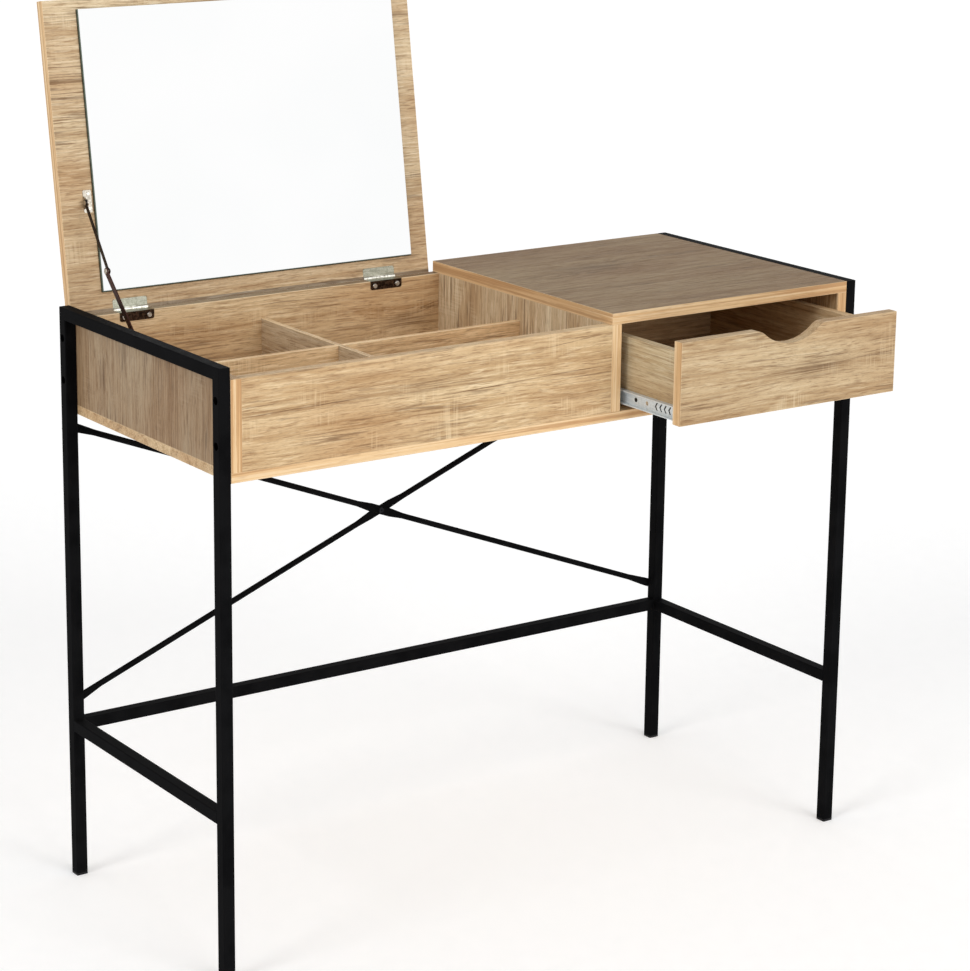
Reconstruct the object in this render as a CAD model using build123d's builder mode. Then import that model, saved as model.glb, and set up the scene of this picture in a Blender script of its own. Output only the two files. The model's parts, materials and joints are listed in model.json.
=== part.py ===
from build123d import *
from math import atan2, cos, degrees, hypot, pi, radians, sin
import os

os.makedirs("parts", exist_ok=True)

# Vanity table with a folding mirror lid and one drawer.
# +X is the user's right, the front faces -Y, +Z is up, and the origin lies on
# the floor at the centre of the four feet. Millimetres.

# ---- overall ---------------------------------------------------------------
WIDTH = 985.0
DEPTH = 410.0
HEIGHT = 775.0

# ---- steel frame -----------------------------------------------------------
TUBE = 16.0
TUBE_WALL = 1.2
TUBE_CORNER = 1.6
STRETCHER_TOP = 220.0
CAP_FLANGE = 3.0
CAP_PLUG = 12.0
CAP_PLUG_GAP = 0.1

LEG_X = WIDTH / 2 - TUBE / 2
LEG_Y = DEPTH / 2 - TUBE / 2
INNER_X = WIDTH / 2 - TUBE
REAR = DEPTH / 2

# ---- crossed brace ---------------------------------------------------------
BRACE_HIGH = 617.0
BRACE_LOW = 240.0
BRACE_TUBE = 8.0
BRACE_FLAT = 2.2
BRACE_FLAT_WIDTH = 12.0
BRACE_CROSS_HALF = 17.0
BRACE_CROSS_TAPER = 23.0
BRACE_END_TAPER = 30.0
BRACE_END_FLAT = 14.0
BRACE_END_OVERHANG = 5.0
BRACE_BOLT_R = 2.5

# ---- box -------------------------------------------------------------------
BOARD = 15.0
BASE_BOARD = 12.0
BOX_BOTTOM = 634.0
FLOOR = BOX_BOTTOM + BASE_BOARD
RIM = HEIGHT - BOARD
EASE = 0.4
PARTITION_LEFT = 82.7
PARTITION_RIGHT = PARTITION_LEFT + BOARD
SIDE_INNER = INNER_X - BOARD
DIVIDER = 7.0
DIVIDER_TOP = 729.0
DIVIDER_X = -198.0
LAP_GAP = 0.15

# ---- lid, mirror and hinges ------------------------------------------------
LID_ANGLE = 99.0
LID_LEFT = -474.0
LID_RIGHT = 78.0
LID_START = -1.0
LID_LENGTH = 402.2
MIRROR_LEFT = -427.5
MIRROR_RIGHT = 49.5
MIRROR_START = 25.0
MIRROR_END = 388.0
MIRROR_THICK = 3.0
MIRROR_BEVEL = 0.8

HINGE_X = (-388.0, -4.0)
HINGE_WIDTH = 50.0
HINGE_SHEET = 0.8
KNUCKLE_R = 2.2
PIN_R = 1.1
PIN_FIT = 0.05
KNUCKLE_MIDDLE = 16.4
KNUCKLE_GAP = 0.3
KNUCKLE_ROOM = 2.7
LEAF_LENGTH = 14.0
LEAF_DROP = 12.0
LEAF_CLEAR = 2.5
LEAF_CORNER = 3.0
LEAF_TAB_GAP = 0.4
GAIN_GAP = 0.2
HINGE_SCREW_INSET = 7.0
HINGE_SCREW_ALONG = 9.4
PIN_Y = REAR + KNUCKLE_R + 0.3
PIN_Z = RIM + 0.3

# ---- lid stay --------------------------------------------------------------
STAY_ALONG = 142.0
STAY_OFF = 8.5
ELBOW = (43.0, 823.0)
ANCHOR = (124.0, 744.0)
ARM_SHEET = 1.5
UPPER_ARM_RIGHT = -442.2
LOWER_ARM_RIGHT = -444.9
UPPER_ARM_WIDTH = 5.0
LOWER_ARM_WIDTH = 8.0
EYE_R = 4.5
STAY_PIN_R = 2.0
STAY_FIT = 0.05
STAY_SIDE_GAP = 0.2
RIVET_HEAD_R = 3.5
RIVET_HEAD = 1.0
RIVET_SPACER = 0.8
UPPER_RIVET_HEAD = 1.2
RIVET_DOME = 25
BRACKET_PLATE = 1.2
BRACKET_LEFT = -441.9
BRACKET_WIDTH = 11.9
BRACKET_LOW = 129.0
BRACKET_HIGH = 158.0
BRACKET_CORNER = 1.5
BRACKET_SCREW_ALONG = (134.0, 153.0)
BRACKET_SCREW_INSET = 5.4
EAR = 1.5
EAR_FOOT = 9.0
EAR_HEAD_R = 3.3
EAR_HEAD = 0.4
ANCHOR_PLATE = (36.0, 12.0)
ANCHOR_SCREW_OFF = 13.0
ANCHOR_BOSS_R = 4.0
ANCHOR_HEAD = 0.8

# ---- drawer ----------------------------------------------------------------
DRAWER_OPEN = 118.0
FRONT_GAP = 3.0
FRONT_BOTTOM = 650.0
FRONT_TOP = 757.5
SLIDE_GAP = 12.5
DRAWER_SIDE = 12.0
DRAWER_LOW = 654.0
DRAWER_TOP = 741.0
DRAWER_LENGTH = 350.0
DRAWER_BASE = 4.0
DRAWER_BASE_Z = 660.0
GROOVE = 5.0
GROOVE_GAP = 0.1
NOTCH_HALF = 58.0
NOTCH_DEPTH = 21.0
NOTCH_LIP_R = 20.0
NOTCH_OVER = 2.0
DRAWER_DOWEL_Z = (688.0, 722.0)
BACK_SCREWS_Z = (690.0, 722.0)
BACK_SCREW_BITE = 18.0

# ---- drawer slides ---------------------------------------------------------
SLIDE_Z = 663.0
SLIDE_SHEET = 1.2
OUTER_RAIL_HIGH = 27.0
OUTER_RAIL_DEEP = 9.0
OUTER_RAIL_START = -189.5
INNER_RAIL_HIGH = 18.0
INNER_RAIL_DEEP = 7.5
BALL_R = 1.35
BALL_X = 6.3
BALL_PITCH = 12.0
BALLS = 8
CAGE_SHEET = 0.6
CAGE_X = 1.8
CAGE_LENGTH = 96.0
CAGE_CLOSED_START = -62.0
CHEVRONS = 5
CHEVRON_PITCH = 9.0
CHEVRON_FIRST = 8.0
CHEVRON_HALF = 5.0
CHEVRON_BACK = -4.0
CHEVRON_SHOULDER = -1.5
CHEVRON_TIP = 2.0
CHEVRON_NICK = -0.5
WALL_SCREW_Y = (-150.0, -20.0, 130.0)
DRAWER_RAIL_SCREWS = (62.0, 180.0, 320.0)
RAIL_HOLE_ALONG = 85.0
RAIL_HOLE_R = 3.0
WALL_SCREW_BITE = 10.0
DRAWER_SCREW_BITE = 6.0

# ---- fasteners -------------------------------------------------------------
SCREW_R = 1.5
SCREW_HEAD_R = 3.0
DOWEL_R = 3.0
DOWEL_LENGTH = 24.0
SMALL_R = 1.25
SMALL_LENGTH = 10.0
SMALL_SCREW = (SMALL_R, 2.4, 1.0, SMALL_LENGTH)
HINGE_BOX_SCREW = (SMALL_R, 3.3, 1.2, SMALL_LENGTH)
LEAF_SCREW_R = 1.4
LEAF_SCREW_HEAD_R = 2.2
LEAF_SCREW_LENGTH = 11.0
PAN_HEAD_TAPER = 22


def limits(center, size):
    """Low and high limits of a span."""
    return center - size / 2, center + size / 2


def board(x, y, z, ease=EASE):
    """Rectangular board between three pairs of limits, with eased edges."""
    with BuildSketch(Plane.XY.offset(z[0])) as plan:
        with Locations(((x[0] + x[1]) / 2, (y[0] + y[1]) / 2)):
            Rectangle(x[1] - x[0], y[1] - y[0])
    extrude(plan.sketch, amount=z[1] - z[0])
    if ease:
        context = BuildPart._get_context()
        chamfer(context.edges(), ease)


def tube_section():
    """Square hollow section with rounded corners."""
    RectangleRounded(TUBE, TUBE, TUBE_CORNER)
    bore = TUBE - 2 * TUBE_WALL
    RectangleRounded(bore, bore, TUBE_CORNER / 3, mode=Mode.SUBTRACT)


def drill(plane, points, radius, depth):
    """Blind round holes square to a plane, sunk against its normal."""
    with BuildSketch(plane) as rings:
        with Locations(*points):
            Circle(radius)
    extrude(rings.sketch, amount=-depth, mode=Mode.SUBTRACT)


def sink(plane, points, radius, head_radius, depth):
    """Countersunk holes square to a plane."""
    drill(plane, points, radius, depth)
    with BuildSketch(plane) as rings:
        with Locations(*points):
            Circle(head_radius)
    extrude(rings.sketch, amount=radius - head_radius, taper=45, mode=Mode.SUBTRACT)


def recess(plane, points, size, depth):
    """Cross drive recess in each screw head."""
    with BuildSketch(plane) as crosses:
        with Locations(*points):
            Rectangle(size, size / 5)
            Rectangle(size / 5, size)
    extrude(crosses.sketch, amount=-depth, mode=Mode.SUBTRACT)


def flush_screws(plane, points, radius, head_radius, length):
    """Countersunk screws whose heads lie flush with a plane."""
    with BuildSketch(plane) as shanks:
        with Locations(*points):
            Circle(radius)
    extrude(shanks.sketch, amount=-length)
    with BuildSketch(plane) as heads:
        with Locations(*points):
            Circle(head_radius)
    extrude(heads.sketch, amount=radius - head_radius, taper=45)
    recess(plane, points, 1.2 * head_radius, 0.4 * (head_radius - radius))


def pan_screws(plane, points, radius, head_radius, head_height, length):
    """Screws whose heads stand proud of a plane."""
    with BuildSketch(plane) as shanks:
        with Locations(*points):
            Circle(radius)
    extrude(shanks.sketch, amount=-length)
    with BuildSketch(plane) as heads:
        with Locations(*points):
            Circle(head_radius)
    extrude(heads.sketch, amount=head_height, taper=PAN_HEAD_TAPER)
    recess(plane.offset(head_height), points, head_radius, head_height / 2)


def side_plane(side, x):
    """Vertical plane facing the left (-1) or the right (+1); local y is up."""
    return Plane(origin=(x, 0, 0), x_dir=(0, side, 0), z_dir=(side, 0, 0))


def front_plane(y):
    """Vertical plane facing the front; local x is +X and local y is up."""
    return Plane(origin=(0, y, 0), x_dir=(1, 0, 0), z_dir=(0, -1, 0))


def rear_plane(y):
    """Vertical plane facing the rear; local x is -X and local y is up."""
    return Plane(origin=(0, y, 0), x_dir=(-1, 0, 0), z_dir=(0, 1, 0))


SIDES = (("left", -1), ("right", 1))

# Bolts that hold the box to the legs: local (y, z) on the outer leg faces. The
# heads sit inside the tubes, against the inner wall, behind access holes.
FRAME_BOLT_R = 2.5
FRAME_BOLT_LENGTH = 37.2
FRAME_BOLT_SHORT = 14.2
FRAME_HEAD_R = 4.5
FRAME_HEAD = 2.0
ACCESS_R = 5.0
BOLT_SEAT = INNER_X + TUBE_WALL
PANEL_BOLT_DEPTH = FRAME_BOLT_LENGTH - TUBE_WALL
FRAME_BOLTS = [(y, z) for y in (-LEG_Y, LEG_Y) for z in (680.0, 735.0)]

# =============================================================================
# Frame
# =============================================================================


def mitre(side, face, kept):
    """Slanting plane where a leg meets its top bar; the kept half lies along kept."""
    return Plane(origin=(side * LEG_X, face * LEG_Y, HEIGHT - TUBE / 2), z_dir=kept)


for y_tag, face in (("front", -1), ("rear", 1)):
    for x_tag, side in SIDES:
        with BuildPart() as leg:
            with BuildSketch(Plane.XY.offset(CAP_FLANGE)):
                with Locations((side * LEG_X, face * LEG_Y)):
                    tube_section()
            extrude(amount=HEIGHT - CAP_FLANGE)
            split(bisect_by=mitre(side, face, (0, face, -1)))
            bolts = [p for p in FRAME_BOLTS if p[0] * side * face > 0]
            drill(side_plane(side, side * WIDTH / 2), bolts, FRAME_BOLT_R, TUBE)
            drill(side_plane(side, side * WIDTH / 2), bolts, ACCESS_R, TUBE_WALL)
            if face > 0:
                ends = [(-side * LEG_X, z) for z in (BRACE_LOW, BRACE_HIGH)]
                drill(rear_plane(REAR), ends, BRACE_BOLT_R, TUBE_WALL)
        leg.part.label = f"leg_{y_tag}_{x_tag}"
        export_step(leg.part, f"parts/leg_{y_tag}_{x_tag}.step")

for x_tag, side in SIDES:
    with BuildPart() as top_bar:
        with BuildSketch(front_plane(REAR)):
            with Locations((side * LEG_X, HEIGHT - TUBE / 2)):
                tube_section()
        extrude(amount=DEPTH)
        for face in (-1, 1):
            split(bisect_by=mitre(side, face, (0, -face, 1)))
    top_bar.part.label = f"top_bar_{x_tag}"
    export_step(top_bar.part, f"parts/top_bar_{x_tag}.step")

    with BuildPart() as stretcher:
        with BuildSketch(front_plane(LEG_Y - TUBE / 2)):
            with Locations((side * LEG_X, STRETCHER_TOP - TUBE / 2)):
                tube_section()
        extrude(amount=DEPTH - 2 * TUBE)
    stretcher.part.label = f"side_stretcher_{x_tag}"
    export_step(stretcher.part, f"parts/side_stretcher_{x_tag}.step")

with BuildPart() as rear_stretcher:
    with BuildSketch(side_plane(1, -INNER_X)):
        with Locations((LEG_Y, STRETCHER_TOP - TUBE / 2)):
            tube_section()
    extrude(amount=2 * INNER_X)
rear_stretcher.part.label = "rear_stretcher"
export_step(rear_stretcher.part, "parts/rear_stretcher.step")

with BuildPart() as foot_caps:
    with BuildSketch():
        with GridLocations(2 * LEG_X, 2 * LEG_Y, 2, 2):
            RectangleRounded(TUBE, TUBE, TUBE_CORNER)
    extrude(amount=CAP_FLANGE)
    plug = TUBE - 2 * TUBE_WALL - 2 * CAP_PLUG_GAP
    with BuildSketch(Plane.XY.offset(CAP_FLANGE)):
        with GridLocations(2 * LEG_X, 2 * LEG_Y, 2, 2):
            RectangleRounded(plug, plug, TUBE_CORNER / 3)
    extrude(amount=CAP_PLUG)
foot_caps.part.label = "foot_caps"
export_step(foot_caps.part, "parts/foot_caps.step")

# Each brace is a round tube pressed flat at its two ends and at the crossing.
BRACE_MIDDLE = (BRACE_HIGH + BRACE_LOW) / 2
BRACE_RISE = BRACE_HIGH - BRACE_LOW
BRACE_HALF = hypot(LEG_X, BRACE_RISE / 2)
BRACE_Y = REAR + BRACE_TUBE / 2
END_FLAT_SHIFT = (BRACE_FLAT - BRACE_TUBE) / 2
ROUND = (BRACE_TUBE, BRACE_TUBE, 0.49 * BRACE_TUBE, 0.0)
END_FLAT = (BRACE_FLAT, BRACE_FLAT_WIDTH, 0.4 * BRACE_FLAT, END_FLAT_SHIFT)

for tag, slope in (("a", -1), ("b", 1)):
    run = Vector(LEG_X, 0, slope * BRACE_RISE / 2).normalized()
    cross_flat = (BRACE_FLAT, BRACE_FLAT_WIDTH, 0.4 * BRACE_FLAT, slope * BRACE_FLAT / 2)
    stations = [
        (BRACE_CROSS_HALF, cross_flat),
        (BRACE_CROSS_HALF + BRACE_CROSS_TAPER, ROUND),
        (BRACE_HALF - BRACE_END_FLAT - BRACE_END_TAPER, ROUND),
        (BRACE_HALF - BRACE_END_FLAT, END_FLAT),
        (BRACE_HALF + BRACE_END_OVERHANG, END_FLAT),
    ]
    stations = [(-t, s) for t, s in reversed(stations)] + stations
    with BuildPart() as brace:
        for (start, low), (stop, high) in zip(stations, stations[1:]):
            for t, (thick, wide, corner, shift) in ((start, low), (stop, high)):
                spot = Vector(0, BRACE_Y, BRACE_MIDDLE) + run * t
                with BuildSketch(Plane(origin=spot, x_dir=(0, 1, 0), z_dir=run)):
                    with Locations((shift, 0)):
                        RectangleRounded(thick, wide, corner)
            loft(ruled=True)
        ends = [(s * LEG_X, BRACE_MIDDLE - s * slope * BRACE_RISE / 2) for s in (-1, 1)]
        drill(rear_plane(REAR + BRACE_TUBE), ends + [(0, BRACE_MIDDLE)], BRACE_BOLT_R, BRACE_TUBE)
    brace.part.label = f"brace_{tag}"
    export_step(brace.part, f"parts/brace_{tag}.step")

BRACE_ENDS = [(x, z) for x in (-LEG_X, LEG_X) for z in (BRACE_LOW, BRACE_HIGH)]
CROSS_FRONT = BRACE_Y - BRACE_FLAT
CROSS_BACK = BRACE_Y + BRACE_FLAT
BRACE_HEAD_R = 4.2
BRACE_HEAD = 2.2
NUT_ACROSS = 8.0
NUT_HIGH = 3.2

with BuildPart() as brace_bolts:
    end_length = BRACE_FLAT + TUBE - TUBE_WALL - 2
    bolt = (BRACE_BOLT_R, BRACE_HEAD_R, BRACE_HEAD)
    pan_screws(rear_plane(REAR + BRACE_FLAT), BRACE_ENDS, *bolt, end_length)
    cross_length = CROSS_BACK - CROSS_FRONT + NUT_HIGH + 1
    pan_screws(front_plane(CROSS_FRONT), [(0, BRACE_MIDDLE)], *bolt, cross_length)
brace_bolts.part.label = "brace_bolts"
export_step(brace_bolts.part, "parts/brace_bolts.step")

with BuildPart() as brace_nut:
    with BuildSketch(rear_plane(CROSS_BACK)):
        with Locations((0, BRACE_MIDDLE)):
            RegularPolygon(NUT_ACROSS / 2, 6, major_radius=False)
            Circle(BRACE_BOLT_R, mode=Mode.SUBTRACT)
    extrude(amount=NUT_HIGH)
brace_nut.part.label = "brace_nut"
export_step(brace_nut.part, "parts/brace_nut.step")

with BuildPart() as frame_bolts:
    for x_tag, side in SIDES:
        plane = side_plane(side, side * BOLT_SEAT)
        for face in (-1, 1):
            bolts = [p for p in FRAME_BOLTS if p[0] * side * face > 0]
            length = FRAME_BOLT_SHORT if side - face == 2 else FRAME_BOLT_LENGTH
            pan_screws(plane, bolts, FRAME_BOLT_R, FRAME_HEAD_R, FRAME_HEAD, length)
frame_bolts.part.label = "frame_bolts"
export_step(frame_bolts.part, "parts/frame_bolts.step")

# =============================================================================
# Box
# =============================================================================
BASE_SCREW_LENGTH = 40.0
BOARD_MIDDLES = (-INNER_X + BOARD / 2, PARTITION_LEFT + BOARD / 2, INNER_X - BOARD / 2)
BASE_SCREWS = [(x, y) for x in BOARD_MIDDLES for y in (-120.0, 120.0)]
BASE_SCREWS += [(x, -REAR + BOARD / 2) for x in (-360.0, -60.0)]
BASE_SCREWS += [(x, REAR - BOARD / 2) for x in (-300.0, -60.0, 280.0)]
UNDER = Plane(origin=(0, 0, BOX_BOTTOM), x_dir=(1, 0, 0), z_dir=(0, 0, -1))
UNDER_POINTS = [(x, -y) for x, y in BASE_SCREWS]

DOWELS = [(x, y) for x in BOARD_MIDDLES[1:] for y in (-150.0, 60.0)]
DOWELS += [(x, REAR - BOARD / 2) for x in (190.0, 370.0)]
DOWEL_TOP = RIM + 10.0


def base_screw_holes():
    """Pilot holes for the screws that come up through the bottom panel."""
    drill(UNDER, UNDER_POINTS, SCREW_R, BASE_SCREW_LENGTH)


def dowel_holes():
    """Holes for the dowels under the fixed top panel."""
    drill(Plane.XY.offset(DOWEL_TOP), DOWELS, DOWEL_R, DOWEL_LENGTH)


with BuildPart() as bottom_panel:
    board((-INNER_X, INNER_X), (-REAR, REAR), (BOX_BOTTOM, FLOOR))
    sink(UNDER, UNDER_POINTS, SCREW_R, SCREW_HEAD_R, BASE_BOARD)
bottom_panel.part.label = "bottom_panel"
export_step(bottom_panel.part, "parts/bottom_panel.step")

ANCHOR_SCREWS = [(-REAR + ANCHOR[0] + s * ANCHOR_SCREW_OFF, ANCHOR[1]) for s in (-1, 1)]
RAIL_SCREWS = [(y, SLIDE_Z) for y in WALL_SCREW_Y]

for x_tag, side in SIDES:
    with BuildPart() as side_panel:
        outer, inner = side * INNER_X, side * SIDE_INNER
        board(sorted((outer, inner)), (-REAR, REAR), (FLOOR, RIM))
        drill(side_plane(side, outer), FRAME_BOLTS, FRAME_BOLT_R, BOARD)
        base_screw_holes()
        if side > 0:
            dowel_holes()
            mirrored = [(-y, z) for y, z in RAIL_SCREWS]
            drill(side_plane(-1, inner), mirrored, SCREW_R, WALL_SCREW_BITE)
        else:
            anchors = [(-u, z) for u, z in ANCHOR_SCREWS]
            drill(side_plane(1, inner), anchors, SMALL_R, SMALL_LENGTH)
    side_panel.part.label = f"side_panel_{x_tag}"
    export_step(side_panel.part, f"parts/side_panel_{x_tag}.step")

with BuildPart() as front_panel:
    board((-SIDE_INNER, PARTITION_LEFT), (-REAR, -REAR + BOARD), (FLOOR, RIM))
    drill(side_plane(-1, -INNER_X), FRAME_BOLTS, FRAME_BOLT_R, PANEL_BOLT_DEPTH)
    base_screw_holes()
front_panel.part.label = "front_panel"
export_step(front_panel.part, "parts/front_panel.step")

with BuildPart() as partition:
    board((PARTITION_LEFT, PARTITION_RIGHT), (-REAR, REAR - BOARD), (FLOOR, RIM))
    base_screw_holes()
    dowel_holes()
    drill(side_plane(1, PARTITION_RIGHT), RAIL_SCREWS, SCREW_R, WALL_SCREW_BITE)
partition.part.label = "partition"
export_step(partition.part, "parts/partition.step")

HINGE_SCREW_OFF = HINGE_WIDTH / 2 - HINGE_SCREW_INSET
HINGE_BOX_Z = RIM - LEAF_DROP / 2 - 0.5
HINGE_BOX_SCREWS = [(x + s * HINGE_SCREW_OFF, HINGE_BOX_Z) for x in HINGE_X for s in (-1, 1)]
BOX_INNER_BACK = Plane(origin=(0, REAR - BOARD, 0), x_dir=(1, 0, 0), z_dir=(0, -1, 0))

with BuildPart() as back_panel:
    board((-SIDE_INNER, SIDE_INNER), (REAR - BOARD, REAR), (FLOOR, RIM))
    for side in (-1, 1):
        drill(side_plane(side, side * INNER_X), FRAME_BOLTS, FRAME_BOLT_R, PANEL_BOLT_DEPTH)
    base_screw_holes()
    dowel_holes()
    with BuildSketch(Plane.XY.offset(RIM - HINGE_SHEET)):
        with Locations(*[(x, REAR - BOARD / 2) for x in HINGE_X]):
            Rectangle(HINGE_WIDTH + 2 * GAIN_GAP, BOARD)
    extrude(amount=HINGE_SHEET, mode=Mode.SUBTRACT)
    drill(BOX_INNER_BACK, HINGE_BOX_SCREWS, SMALL_R, SMALL_LENGTH)
back_panel.part.label = "back_panel"
export_step(back_panel.part, "parts/back_panel.step")

with BuildPart() as top_panel:
    board((PARTITION_LEFT, INNER_X), (-REAR, REAR), (RIM, HEIGHT))
    dowel_holes()
top_panel.part.label = "top_panel"
export_step(top_panel.part, "parts/top_panel.step")

# The two dividers are halved over each other.
DIVIDER_MIDDLE = (FLOOR + DIVIDER_TOP) / 2
LAP = DIVIDER + 2 * LAP_GAP

with BuildPart() as divider_long:
    board((-SIDE_INNER, PARTITION_LEFT), limits(0, DIVIDER), (FLOOR, DIVIDER_TOP))
    with BuildSketch(Plane.XY.offset(DIVIDER_MIDDLE)):
        with Locations((DIVIDER_X, 0)):
            Rectangle(LAP, DIVIDER)
    extrude(amount=DIVIDER_TOP - DIVIDER_MIDDLE, mode=Mode.SUBTRACT)
divider_long.part.label = "divider_long"
export_step(divider_long.part, "parts/divider_long.step")

with BuildPart() as divider_cross:
    board(limits(DIVIDER_X, DIVIDER), (-REAR + BOARD, REAR - BOARD), (FLOOR, DIVIDER_TOP))
    with BuildSketch(Plane.XY.offset(FLOOR)):
        with Locations((DIVIDER_X, 0)):
            Rectangle(DIVIDER, LAP)
    extrude(amount=DIVIDER_MIDDLE - FLOOR, mode=Mode.SUBTRACT)
divider_cross.part.label = "divider_cross"
export_step(divider_cross.part, "parts/divider_cross.step")

with BuildPart() as base_screws:
    flush_screws(UNDER, UNDER_POINTS, SCREW_R, SCREW_HEAD_R, BASE_SCREW_LENGTH)
base_screws.part.label = "base_screws"
export_step(base_screws.part, "parts/base_screws.step")

with BuildPart() as top_dowels:
    with BuildSketch(Plane.XY.offset(DOWEL_TOP)):
        with Locations(*DOWELS):
            Circle(DOWEL_R)
    extrude(amount=-DOWEL_LENGTH)
top_dowels.part.label = "top_dowels"
export_step(top_dowels.part, "parts/top_dowels.step")

# =============================================================================
# Lid, mirror and hinges. The lid frame lies on the lid's inner face with its
# origin on the hinge axis: local x is +X, local y runs up the open lid.
# =============================================================================
LID = Plane(
    origin=(0, PIN_Y, PIN_Z),
    x_dir=(1, 0, 0),
    z_dir=(0, -sin(radians(LID_ANGLE)), -cos(radians(LID_ANGLE))),
)
LID_END = LID_START + LID_LENGTH
LID_MIDDLE = ((LID_LEFT + LID_RIGHT) / 2, (LID_START + LID_END) / 2)
HINGE_LID_SCREWS = [(x + s * HINGE_SCREW_OFF, HINGE_SCREW_ALONG) for x in HINGE_X for s in (-1, 1)]
BRACKET_SCREWS = [(BRACKET_LEFT + EAR + BRACKET_SCREW_INSET, s) for s in BRACKET_SCREW_ALONG]

with BuildPart() as lid_panel:
    with BuildSketch(LID.offset(-BOARD)):
        with Locations(LID_MIDDLE):
            Rectangle(LID_RIGHT - LID_LEFT, LID_LENGTH)
    extrude(amount=BOARD)
    chamfer(lid_panel.edges(), EASE)
    with BuildSketch(LID):
        with Locations(*[(x, LEAF_LENGTH / 2) for x in HINGE_X]):
            Rectangle(HINGE_WIDTH + 2 * GAIN_GAP, LEAF_LENGTH + 2 * GAIN_GAP)
    extrude(amount=-HINGE_SHEET, mode=Mode.SUBTRACT)
    with BuildSketch(LID):
        with Locations(*[(x, (LID_START + KNUCKLE_ROOM) / 2) for x in HINGE_X]):
            Rectangle(HINGE_WIDTH + 2 * GAIN_GAP, KNUCKLE_ROOM - LID_START)
    extrude(amount=-KNUCKLE_ROOM, mode=Mode.SUBTRACT)
    drill(LID, HINGE_LID_SCREWS, LEAF_SCREW_R, LEAF_SCREW_LENGTH)
    drill(LID, BRACKET_SCREWS, SMALL_R, SMALL_LENGTH)
lid_panel.part.label = "lid_panel"
export_step(lid_panel.part, "parts/lid_panel.step")

with BuildPart() as mirror_glass:
    with BuildSketch(LID):
        with Locations(((MIRROR_LEFT + MIRROR_RIGHT) / 2, (MIRROR_START + MIRROR_END) / 2)):
            Rectangle(MIRROR_RIGHT - MIRROR_LEFT, MIRROR_END - MIRROR_START)
    extrude(amount=MIRROR_THICK)
    chamfer(mirror_glass.faces().sort_by(Axis.Y)[0].edges(), MIRROR_BEVEL)
mirror_glass.part.label = "mirror_glass"
export_step(mirror_glass.part, "parts/mirror_glass.step")

KNUCKLE_OUTER = (HINGE_WIDTH - KNUCKLE_MIDDLE) / 2 - KNUCKLE_GAP


def knuckle(x, length):
    """Rolled eye around the hinge pin, starting at x."""
    with BuildSketch(Plane(origin=(x, PIN_Y, PIN_Z), x_dir=(0, 1, 0), z_dir=(1, 0, 0))) as eye:
        Circle(KNUCKLE_R)
        Circle(PIN_R + PIN_FIT, mode=Mode.SUBTRACT)
    extrude(eye.sketch, amount=length)


def leaf_outline(width, low, high, corner):
    """Leaf with its two free corners rounded; the free edge is at the high end."""
    with Locations((0, (low + high) / 2)):
        Rectangle(width, high - low)
    fillet(BuildSketch._get_context().vertices().sort_by(Axis.Y)[-2:], corner)


for (x_tag, _), x in zip(SIDES, HINGE_X):
    screws = [p for p in HINGE_LID_SCREWS if abs(p[0] - x) < HINGE_WIDTH]
    with BuildPart() as lid_leaf:
        knuckle(x - KNUCKLE_MIDDLE / 2, KNUCKLE_MIDDLE)
        root = LID.from_local_coords((x, 0, 0))
        with BuildSketch(Plane(origin=root, x_dir=LID.x_dir, z_dir=LID.z_dir)):
            leaf_outline(HINGE_WIDTH, LEAF_CLEAR, LEAF_LENGTH, LEAF_CORNER)
            with Locations((0, (PIN_R + LEAF_CLEAR) / 2 + LEAF_TAB_GAP)):
                Rectangle(KNUCKLE_MIDDLE, LEAF_CLEAR - PIN_R)
        extrude(amount=-HINGE_SHEET)
        sink(LID, screws, LEAF_SCREW_R, LEAF_SCREW_HEAD_R, 2)
    lid_leaf.part.label = f"hinge_lid_leaf_{x_tag}"
    export_step(lid_leaf.part, f"parts/hinge_lid_leaf_{x_tag}.step")

    with BuildPart() as box_leaf:
        knuckle(x - HINGE_WIDTH / 2, KNUCKLE_OUTER)
        knuckle(x + HINGE_WIDTH / 2 - KNUCKLE_OUTER, KNUCKLE_OUTER)
        top_front = REAR - BOARD - HINGE_SHEET
        top_back = PIN_Y - LEAF_CLEAR
        with BuildSketch(Plane.XY.offset(RIM - HINGE_SHEET)):
            with Locations((x, (top_front + top_back) / 2)):
                Rectangle(HINGE_WIDTH, top_back - top_front)
            tab = PIN_Y - PIN_R - LEAF_TAB_GAP - top_back
            tab_off = (HINGE_WIDTH - KNUCKLE_OUTER) / 2
            with Locations(*[(x + s * tab_off, top_back + tab / 2) for s in (-1, 1)]):
                Rectangle(KNUCKLE_OUTER, tab)
        extrude(amount=HINGE_SHEET)
        with BuildSketch(Plane(origin=(x, REAR - BOARD, RIM), x_dir=(-1, 0, 0), z_dir=(0, -1, 0))):
            leaf_outline(HINGE_WIDTH, 0, LEAF_DROP, LEAF_CORNER)
        extrude(amount=HINGE_SHEET)
        drops = [p for p in HINGE_BOX_SCREWS if abs(p[0] - x) < HINGE_WIDTH]
        drill(BOX_INNER_BACK.offset(HINGE_SHEET), drops, SMALL_R, HINGE_SHEET)
    box_leaf.part.label = f"hinge_box_leaf_{x_tag}"
    export_step(box_leaf.part, f"parts/hinge_box_leaf_{x_tag}.step")

with BuildPart() as hinge_pins:
    for x in HINGE_X:
        with BuildSketch(Plane(origin=(x, PIN_Y, PIN_Z), x_dir=(0, 1, 0), z_dir=(1, 0, 0))):
            Circle(PIN_R)
        extrude(amount=HINGE_WIDTH / 2, both=True)
hinge_pins.part.label = "hinge_pins"
export_step(hinge_pins.part, "parts/hinge_pins.step")

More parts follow.
